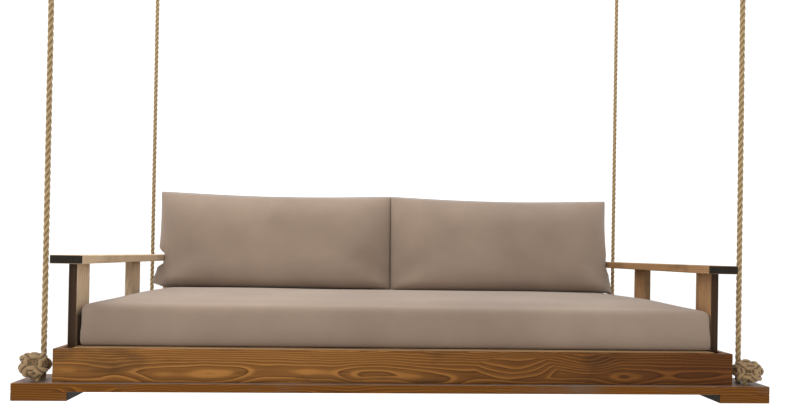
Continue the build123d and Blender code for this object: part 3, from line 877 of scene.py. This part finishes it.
def wood(name, colours, grain, seed, pith, split=(), stains_and_painted_light=(), fade=0.0, foot=()):
    """Stained softwood. grain is the axis that it was sawn along, and pith is how far the origin is
    from the tree's middle across the other two. split is the axis that its boards lie along, and their
    pitch. stains_and_painted_light has, for some of the axes, the colour of the faces across it and how
    much of it they get: end-grain stain, and on some boards painted shade and a painted sheen. fade
    darkens the board towards its +X end, and foot is the height under which its inner face gets
    painted shade, the seat cushion's shadow, with the way that face looks along X."""
    tree = Tree(name)
    place = tree.add("TexCoord").outputs["Object"]
    others = [k for k in range(3) if k != grain]
    whole = place
    if split:
        axis, pitch = split
        board = tree.math("FLOOR", tree.math("DIVIDE", tree.parts(place)[axis], pitch))
        shift = tree.add("TexWhiteNoise", {"W": board}, noise_dimensions="1D").outputs["Color"]
        place = tree.vector("ADD", place, shift)
    ring = ring_height(tree, place, grain, others, pith, seed)
    band_stops = [(0.0, 0.0), (0.16, 0.10), (0.34, 0.62), (0.72, 0.74), (0.90, 1.0), (1.0, 0.0)]
    bands = tree.ramp(ring, band_stops)
    fine, coarse, patch = [900.0] * 3, [150.0] * 3, [10.0] * 3
    fine[grain], coarse[grain], patch[grain] = 9.0, 3.0, 3.4
    fibre = tree.noise(tree.scaled(place, fine, (seed, 0, 0)), 1.0, 3.0, 0.6)
    streak = tree.noise(tree.scaled(place, coarse, (0, seed, 0)), 1.0, 3.0, 0.6)
    pooled = tree.noise(tree.scaled(place, patch, (0, 0, seed)), 1.0, 4.0, 0.6)
    strength = tree.math("MULTIPLY", bands, tree.ramp(streak, [(0.25, 0.60), (0.75, 1.0)]))
    colour = tree.mix(strength, colours["light"], colours["dark"])
    colour = tree.mix(tree.ramp(pooled, [(0.52, 0.0), (0.74, 0.80)]), colour, colours["pooled"])
    speckle = tree.ramp(fibre, [(0.30, (0.62, 0.60, 0.58)), (0.70, WHITE)])
    colour = tree.mix(0.50, colour, speckle, "MULTIPLY")
    if fade:
        amount = tree.math("MULTIPLY", tree.ranged(tree.parts(whole)[X], FADE_FROM, FADE_TO), fade)
        colour = tree.mix(amount, colour, FADED, "MULTIPLY")
    normal = tree.add("NewGeometry").outputs["Normal"]
    # Painted shade: the inner face is painted dark under the given height, where the seat cushion shades the
    # post.
    if foot:
        top, inward = foot
        dark = tree.ranged(tree.parts(whole)[Z], top, top - FOOT_SHADE_FADE, FOOT_SHADE_SHARE)
        inner = tree.math("MULTIPLY", tree.parts(normal)[X], inward, clamp=True)
        colour = tree.mix(tree.math("MULTIPLY", dark, inner), colour, POST_FOOT_SHADE)
    turned = tree.parts(tree.vector("ABSOLUTE", normal))
    for axis, shade, amount in stains_and_painted_light:
        facing = tree.math("MULTIPLY", tree.ramp(turned[axis], [(0.55, 0.0), (0.85, 1.0)]), amount)
        paler = tuple(2.0 * c for c in shade)
        streaked = tree.mix(tree.ramp(streak, [(0.35, 0.0), (0.8, 1.0)]), shade, paler)
        colour = tree.mix(facing, colour, streaked)
    # Painted highlight: the boards' edges are painted lighter in patches, as where a rounded edge catches
    # the light, with some wear.
    bevelled = tree.add("Bevel", {"Radius": EDGE_HIGHLIGHT_R}, samples=4).outputs[0]
    edge = tree.ramp(tree.vector("DOT_PRODUCT", bevelled, normal), [(0.80, 1.0), (0.985, 0.0)])
    worn_and_highlit = tree.math("MULTIPLY", edge, tree.ramp(pooled, [(0.35, 0.10), (0.65, 0.55)]))
    colour = tree.mix(worn_and_highlit, colour, tuple(min(1.0, 1.35 * c + 0.01) for c in colours["light"]))
    height = tree.math("ADD", tree.math("MULTIPLY", fibre, 0.5), tree.math("MULTIPLY", bands, 0.35))
    return tree.surface(
        Base_Color=colour,
        Roughness=tree.ramp(streak, [(0.2, 0.40), (0.8, 0.56)]),
        Normal=tree.bump(height, 0.35, 0.0006),
        Specular_IOR_Level=0.10,
    )


def rope_material(name, light, dark, groove_shade, yarns=9.0, yarn_pitch=0.022):
    """Laid natural fibre, drawn along each strand: twisted yarns, loose fibres, and painted shade in the
    grooves between the yarns and the strands.
    """
    tree = Tree(name)
    along, turn, _ = tree.parts(tree.add("UVMap", uv_map="lay").outputs[0])
    twist = tree.math("ADD", tree.math("MULTIPLY", turn, yarns), tree.math("DIVIDE", along, yarn_pitch))
    wave = tree.math("SINE", tree.math("MULTIPLY", twist, 2 * math.pi))
    yarn = tree.math("MULTIPLY_ADD", wave, 0.5, 0.5)
    place = tree.add("TexCoord").outputs["Object"]
    drawn = {"X": tree.math("MULTIPLY", along, 160.0), "Y": tree.math("MULTIPLY", twist, 5.0)}
    fibre = tree.noise(tree.add("CombineXYZ", drawn).outputs[0], 1.0, 4.0, 0.65)
    tone = tree.noise(place, 26.0, 3.0, 0.6)
    outward = tree.math("COSINE", tree.math("MULTIPLY", turn, 2 * math.pi))
    inside = tree.ramp(tree.math("MULTIPLY_ADD", outward, 0.5, 0.5), [(0.42, 1.0), (0.80, 0.0)])
    colour = tree.mix(fibre, dark, light)
    colour = tree.mix(tree.ramp(tone, [(0.35, 0.0), (0.75, 0.35)]), colour, dark)
    # Painted shade between the yarns.
    colour = tree.mix(tree.math("MULTIPLY", tree.math("SUBTRACT", 1.0, yarn), 0.40), colour, groove_shade)
    # Painted shade on each strand's inner side, where it lies against the other strands.
    colour = tree.mix(tree.math("MULTIPLY", inside, 0.85), colour, groove_shade)
    height = tree.math("ADD", tree.math("MULTIPLY", yarn, 0.7), tree.math("MULTIPLY", fibre, 0.6))
    return tree.surface(
        Base_Color=colour, Roughness=0.78, Normal=tree.bump(height, 0.8, 0.0007),
        Sheen_Weight=0.15, Sheen_Roughness=0.5,
    )


FABRIC_LIGHT, FABRIC_DARK = (0.265, 0.194, 0.143), (0.208, 0.149, 0.108)
THREADS_PER_METRE = 900.0


def fabric_material():
    """A smooth plain weave, drawn on each cushion from the direction that its surface faces."""
    tree = Tree("cushion_fabric")
    place = tree.add("TexCoord").outputs["Object"]
    waves = [tree.math("SINE", part) for part in tree.parts(tree.times(place, THREADS_PER_METRE * math.pi))]
    normal = tree.add("NewGeometry").outputs["Normal"]
    facing = tree.parts(tree.vector("ABSOLUTE", normal))
    weave = None
    for k in range(3):
        one, two = [waves[j] for j in range(3) if j != k]
        part = tree.math("MULTIPLY", tree.math("MULTIPLY", one, two), facing[k])
        weave = part if weave is None else tree.math("ADD", weave, part)
    slub = tree.noise(tree.scaled(place, (60.0, 60.0, 420.0)), 1.0, 3.0, 0.6)
    tone = tree.noise(place, 3.2, 3.0, 0.55)
    colour = tree.mix(tree.ramp(tone, [(0.35, 0.0), (0.70, 1.0)]), FABRIC_DARK, FABRIC_LIGHT)
    thick = tree.ramp(slub, [(0.30, (0.86, 0.85, 0.84)), (0.70, WHITE)])
    thread = tree.ramp(tree.math("MULTIPLY_ADD", weave, 0.5, 0.5), [(0.0, (0.80, 0.79, 0.78)), (1.0, WHITE)])
    colour = tree.mix(0.30, tree.mix(0.35, colour, thick, "MULTIPLY"), thread, "MULTIPLY")
    height = tree.math("ADD", weave, slub)
    return tree.surface(
        Base_Color=colour, Roughness=0.88, Normal=tree.bump(height, 0.30, 0.0004),
        Sheen_Weight=0.18, Sheen_Roughness=0.45,
    )


def metal_material(name, light, dark, metallic, rough_low, rough_high, grain):
    """Plated steel, mottled and a little dulled."""
    tree = Tree(name)
    place = tree.add("TexCoord").outputs["Object"]
    cells = tree.add("TexVoronoi", {"Vector": place, "Scale": grain}).outputs["Color"]
    spangle = tree.parts(cells)[0]
    stain = tree.noise(place, 70.0, 4.0, 0.6)
    scratch = tree.noise(tree.scaled(place, (900.0, 900.0, 60.0)), 1.0, 3.0, 0.6)
    tone = tree.math("MULTIPLY_ADD", spangle, 0.45, tree.math("MULTIPLY", stain, 0.55))
    return tree.surface(
        Base_Color=tree.mix(tone, dark, light), Metallic=metallic,
        Roughness=tree.ramp(stain, [(0.3, rough_low), (0.7, rough_high)]),
        Normal=tree.bump(tree.math("ADD", scratch, stain), 0.20, 0.0003),
    )


def paint(piece, material):
    piece.data.materials.clear()
    piece.data.materials.append(material)


# The last colour of each rope is the painted shade in its grooves.
knotted = rope_material("knotted_rope", (0.43, 0.285, 0.128), (0.165, 0.092, 0.034), (0.052, 0.026, 0.009))
manila = rope_material("manila_rope", (0.50, 0.365, 0.18), (0.30, 0.195, 0.082), (0.125, 0.072, 0.028))
twine = rope_material(
    "seizing_twine", (0.36, 0.25, 0.13), (0.22, 0.14, 0.065), (0.08, 0.045, 0.02),
    yarns=3.0, yarn_pitch=0.004,
)
fabric = fabric_material()
galvanised = metal_material(
    "galvanised_steel", (0.46, 0.47, 0.48), (0.27, 0.28, 0.29),
    metallic=1.0, rough_low=0.30, rough_high=0.50, grain=260.0,
)
bronzed = metal_material(
    "bronzed_steel", (0.16, 0.11, 0.075), (0.07, 0.05, 0.035),
    metallic=0.9, rough_low=0.30, rough_high=0.50, grain=500.0,
)

LONG_END = ((X, END_GRAIN_AND_POST_SHADE, 0.7),)
BLOCK_END = ((X, ARM_END, 1.0),)
END_APRON_END = ((Y, END_GRAIN_AND_POST_SHADE, 0.7),)
ARM_STAINS = ((Y, ARM_END, 1.0),)
JOIST_PITCH, SLAT_PITCH, POST_PITCH, BACK_SLAT_PITCH = 0.45, 0.1010, 0.46, 0.108
# The rails' ends take the end-grain stain, and their top faces a painted sheen.
RAIL_END_STAIN_AND_SHEEN = (*LONG_END, (Z, RAIL_TOP_PAINTED_SHEEN, 0.55))
NODE_WOODS = {
    "front_apron": wood("front_apron_wood", STAINED, X, 2.3, (0.500, 1.846), stains_and_painted_light=LONG_END, fade=1.0),
    "rear_apron": wood("rear_apron_wood", STAINED, X, 5.1, (-0.480, 1.835), stains_and_painted_light=LONG_END),
    "front_base_rail": wood("front_rail_wood", RAIL, X, 7.7, (0.50, 1.95), stains_and_painted_light=RAIL_END_STAIN_AND_SHEEN),
    "rear_base_rail": wood("rear_rail_wood", RAIL, X, 9.2, (-0.50, 1.95), stains_and_painted_light=RAIL_END_STAIN_AND_SHEEN),
    "front_rope_blocks": wood("front_block_wood", RAIL, X, 3.9, (0.50, 1.98), stains_and_painted_light=BLOCK_END),
    "rear_rope_blocks": wood("rear_block_wood", RAIL, X, 4.4, (-0.50, 1.98), stains_and_painted_light=BLOCK_END),
    "left_apron": wood("left_apron_wood", STAINED, Y, 6.1, (0.93, 1.835), stains_and_painted_light=END_APRON_END),
    "right_apron": wood("right_apron_wood", STAINED, Y, 8.3, (-0.93, 1.835), stains_and_painted_light=END_APRON_END),
    "deck_joists": wood("joist_wood", DECK, Y, 1.4, (0.3, 1.90), split=(X, JOIST_PITCH)),
    "deck_slats": wood("slat_wood", DECK, X, 2.9, (0.1, 1.84), split=(Y, SLAT_PITCH)),
    "back_posts": wood("back_post_wood", BROWN, Z, 3.3, (0.2, -0.43), split=(X, POST_PITCH)),
    "back_slats": wood(
        "back_slat_wood", BROWN, X, 4.8, (-0.43, 1.6), split=(Z, BACK_SLAT_PITCH), stains_and_painted_light=LONG_END,
    ),
    "back_top_rail": wood("back_rail_wood", BROWN, X, 5.6, (-0.47, 1.60), stains_and_painted_light=LONG_END),
    "left_armrest": wood("left_arm_wood", PALE_PAINTED_LIT, Y, 1.7, (0.97, 1.60), stains_and_painted_light=ARM_STAINS),
    "right_armrest": wood("right_arm_wood", BROWN, Y, 2.2, (-0.97, 1.60), stains_and_painted_light=ARM_STAINS),
}
# How dark the posts' front faces are: edge grain that took more stain, plus painted shade, most on the front
# posts.
POST_STAIN_AND_SHADE = {"front": 1.0, "middle": 0.30, "rear": 0.30}
CUSHION_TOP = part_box("seat_cushion")[1][2] - SEAT_TOP_R
# The left side is painted in the paler, lit copy of the wood.
for side_name, colours, sign in (("left", PALE_PAINTED_LIT, 1), ("right", BROWN, -1)):
    for row, (place_name, amount) in enumerate(POST_STAIN_AND_SHADE.items()):
        key = f"{side_name}_{place_name}_post"
        seed = 3.1 + row * sign
        NODE_WOODS[key] = wood(
            f"{key}_wood", colours, Z, seed, (sign * 0.90, 0.4), stains_and_painted_light=((Y, END_GRAIN_AND_POST_SHADE, amount),),
            # painted shade under the cushion's top, on the front posts only
            foot=(CUSHION_TOP, sign) if place_name == "front" else (),
        )

for node, material in NODE_WOODS.items():
    paint(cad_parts[node], material)
for node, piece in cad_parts.items():
    if node.startswith(("hanger", "clevis", "thimble", "swing_pins", "lag_screws")):
        paint(piece, galvanised)
paint(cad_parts["wood_screws"], bronzed)
for piece in rope_pieces:
    paint(piece, knotted if piece.name.startswith("knot") else manila)
for piece in twine_pieces:
    paint(piece, twine)
for piece in cushion_pieces:
    paint(piece, fabric)

# ---- stage ---------------------------------------------------------------------------------------

FLOOR_Z = -2.40
FLOOR_HALF = 20.0
SKY_STRENGTH = 1.15


def add_floor():
    corners = [(a * FLOOR_HALF, b * FLOOR_HALF, FLOOR_Z) for a, b in ((-1, -1), (1, -1), (1, 1), (-1, 1))]
    floor = new_object("floor", corners, [(0, 1, 2, 3)], smooth=False)
    tree = Tree("floor")
    grit = tree.noise(tree.add("TexCoord").outputs["Object"], 8.0, 3.0)
    paint(floor, tree.surface(Base_Color=tree.ramp(grit, [(0.3, 0.88), (0.7, 0.92)]), Roughness=0.9))


def add_light(name, place, aim, size, power, colour):
    data = bpy.data.lights.new(name, "AREA")
    data.shape, data.size, data.size_y = "RECTANGLE", *size
    data.energy, data.color = power, colour
    lamp = bpy.data.objects.new(name, data)
    bpy.context.scene.collection.objects.link(lamp)
    lamp.location = place
    lamp.rotation_euler = (Vector(aim) - Vector(place)).to_track_quat("-Z", "Y").to_euler()


def add_world():
    world = bpy.data.worlds.new("world")
    world.use_nodes = True
    background = world.node_tree.nodes["Background"]
    background.inputs["Color"].default_value = (*WHITE, 1)
    background.inputs["Strength"].default_value = SKY_STRENGTH
    bpy.context.scene.world = world


add_floor()
add_world()
add_light("overhead", (-1.2, 0.2, 1.3), (-0.2, 0.1, -1.7), (3.0, 2.2), 80, (1.0, 0.97, 0.93))
add_light("front_fill", (-1.2, -3.0, -0.9), (0.0, 0.4, -1.5), (2.2, 1.0), 13, (1.0, 0.97, 0.94))
bpy.context.scene.view_settings.view_transform = "Standard"
